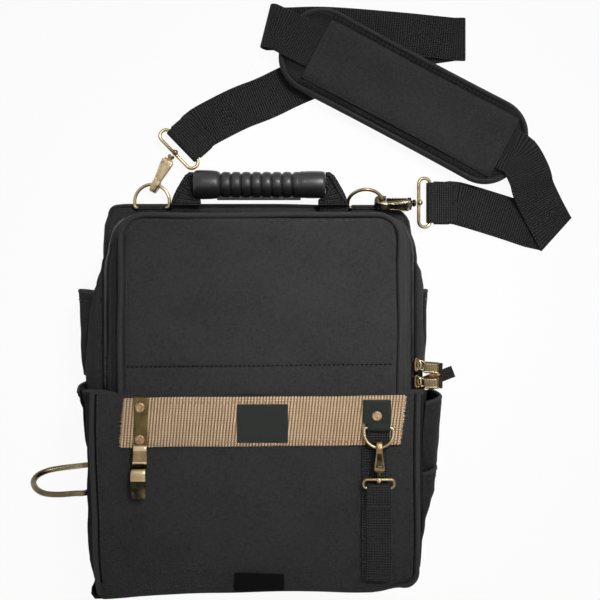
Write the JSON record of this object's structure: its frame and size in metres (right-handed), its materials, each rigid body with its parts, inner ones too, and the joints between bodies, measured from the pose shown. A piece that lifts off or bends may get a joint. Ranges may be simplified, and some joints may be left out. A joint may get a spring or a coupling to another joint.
{
  "type": "tool bag",
  "caption": "Zippered fabric tool bag lying on its back, with an arched zip flap, side pockets, carrying handle, padded shoulder strap, snap hooks, tape strap and hammer loop.",
  "frame": {"origin": "centre of the back panel's rear face, on which the bag lies", "axes": "+Z out of the bag's front, +Y towards its top and shoulder strap, +X to its right seen from the front"},
  "size_m": [0.4628, 0.487, 0.1126],
  "materials": {
    "binding": "narrow binding tape",
    "brass": "bright antique brass",
    "dark_brass": "darkened antique brass",
    "fabric": "woven nylon",
    "grip": "satin ribbed rubber",
    "patch": "smooth patch",
    "tan_webbing": "coarse twill webbing",
    "webbing": "ribbed webbing",
    "zip": "zipper tape and coil"
  },
  "bodies": {
    "bag": {"back_panel": "fabric", "upper_gusset": "fabric", "lower_gusset": "fabric", "lower_front_panel": "fabric", "lower_front_piping": "binding", "rear_zip_tape": "zip", "rear_zip_coil": "zip", "webbing_band": "tan_webbing", "label_patch": "patch", "tape_clip": "dark_brass", "clip_rivet_upper": "dark_brass", "clip_rivet_lower": "dark_brass", "ring_tab": "webbing", "ring_tab_rivet": "dark_brass", "tape_strap_rear": "webbing", "tape_strap_front": "webbing", "small_eye": "brass", "base_tab": "webbing", "zip_end_tab": "webbing", "left_upper_pocket": "fabric", "left_lower_pocket": "fabric", "right_upper_pocket": "fabric", "right_middle_pocket": "fabric", "right_lower_pocket": "fabric", "hammer_plate": "webbing", "handle_anchor_left": "webbing", "handle_anchor_right": "webbing", "top_ring_tab_left": "webbing", "top_ring_tab_right": "webbing", "inner_pocket": "fabric", "strap_right_end": "webbing", "eye_right": "brass"},
    "flap": {"flap_panel": "fabric", "flap_gusset": "fabric", "flap_piping": "binding", "flap_zip_tape": "zip", "flap_zip_coil": "zip"},
    "upper_slider": {"slider_upper": "brass"},
    "upper_pull": {"pull_upper": "dark_brass"},
    "lower_slider": {"slider_lower": "brass"},
    "lower_pull": {"pull_lower": "dark_brass"},
    "handle": {"handle_grip": "grip", "handle_webbing": "webbing"},
    "left_ring": {"top_ring_left": "brass"},
    "right_ring": {"top_ring_right": "brass"},
    "strap": {"strap_webbing": "webbing", "eye_left": "brass", "strap_right_run": "webbing"},
    "pad": {"shoulder_pad": "fabric"},
    "left_hook": {"hook_left": "brass"},
    "left_gate": {"gate_left": "dark_brass"},
    "right_hook": {"hook_right": "brass"},
    "right_gate": {"gate_right": "dark_brass"},
    "front_ring": {"front_ring": "brass"},
    "small_hook": {"small_hook": "brass"},
    "small_gate": {"small_gate": "dark_brass"},
    "hammer_loop": {"hammer_loop": "dark_brass"}
  },
  "joints": [
    {"name": "flap_open", "type": "hinge", "parent": "bag", "child": "flap", "pos_m": [0.003, -0.002, 0.1028], "axis": [1, 0, 0], "range_deg": [0, 150]},
    {"name": "upper_slider_slide", "type": "slide", "parent": "bag", "child": "upper_slider", "axis": [0, 1, 0], "range_m": [0, 0.085]},
    {"name": "upper_pull_swing", "type": "hinge", "parent": "upper_slider", "child": "upper_pull", "pos_m": [0.1331, 0.0183, 0.06774], "axis": [0, -1, 0], "range_deg": [0, 100]},
    {"name": "lower_slider_slide", "type": "slide", "parent": "bag", "child": "lower_slider", "axis": [0, 1, 0], "range_m": [0, 0.002]},
    {"name": "lower_pull_swing", "type": "hinge", "parent": "lower_slider", "child": "lower_pull", "pos_m": [0.1331, 0.0043, 0.06774], "axis": [0, -1, 0], "range_deg": [0, 100]},
    {"name": "handle_swing", "type": "hinge", "parent": "bag", "child": "handle", "pos_m": [0, 0.156, 0.0125], "axis": [1, 0, 0], "range_deg": [0, 80]},
    {"name": "strap_lift", "type": "hinge", "parent": "bag", "child": "strap", "pos_m": [-0.0948, 0.1525, 0.0069], "axis": [1, 0, 0], "range_deg": [0, 40], "deforming": ["strap_right_run"]},
    {"name": "left_ring_swing", "type": "hinge", "parent": "bag", "child": "left_ring", "pos_m": [-0.0948, 0.1525, 0.0069], "axis": [1, 0, 0], "range_deg": [0, 40]},
    {"name": "right_ring_tilt", "type": "hinge", "parent": "bag", "child": "right_ring", "pos_m": [0.0925, 0.1525, 0.0069], "axis": [1, 0, 0], "range_deg": [0, 6]},
    {"name": "left_hook_swivel", "type": "hinge", "parent": "strap", "child": "left_hook", "pos_m": [-0.07721, 0.19878, 0.0069], "axis": [0.4695, 0.8829, 0], "range_deg": [-6, 6]},
    {"name": "left_gate_press", "type": "hinge", "parent": "left_hook", "child": "left_gate", "pos_m": [-0.08083, 0.19198, 0.0037], "axis": [-0.8829, 0.4695, 0], "range_deg": [0, 10], "stiffness_Nm_per_rad": 0.005, "springref_deg": -5.73},
    {"name": "right_hook_swivel", "type": "hinge", "parent": "bag", "child": "right_hook", "pos_m": [0.13709, 0.1571, 0.00789], "axis": [0.9925, 0, -0.1219], "range_deg": [-5, 5]},
    {"name": "right_gate_press", "type": "hinge", "parent": "right_hook", "child": "right_gate", "pos_m": [0.12917, 0.15935, 0.00657], "axis": [0.0859, 0.7097, 0.6992], "range_deg": [0, 10], "stiffness_Nm_per_rad": 0.005, "springref_deg": -5.73},
    {"name": "front_ring_lift", "type": "hinge", "parent": "bag", "child": "front_ring", "pos_m": [0.097, -0.0285, 0.1053], "axis": [-1, 0, 0], "range_deg": [0, 2]},
    {"name": "small_hook_swivel", "type": "hinge", "parent": "bag", "child": "small_hook", "pos_m": [0.097, -0.06587, 0.10797], "axis": [0, -1, 0], "range_deg": [-5, 5]},
    {"name": "small_gate_press", "type": "hinge", "parent": "small_hook", "child": "small_gate", "pos_m": [0.097, -0.06009, 0.10557], "axis": [1, 0, 0], "range_deg": [0, 10], "stiffness_Nm_per_rad": 0.005, "springref_deg": -5.73},
    {"name": "hammer_loop_fold", "type": "hinge", "parent": "bag", "child": "hammer_loop", "pos_m": [-0.1365, -0.079, 0.0485], "axis": [0, -0.3987, 0.9171], "range_deg": [0, 85]},
    {"name": "pad_slide", "type": "slide", "parent": "strap", "child": "pad", "axis": [0.8829, -0.4695, 0], "range_m": [-0.004, 0.004]}
  ],
  "couplings": [
    {"joint": "left_ring_swing", "follows": "strap_lift", "ratio": 1}
  ]
}
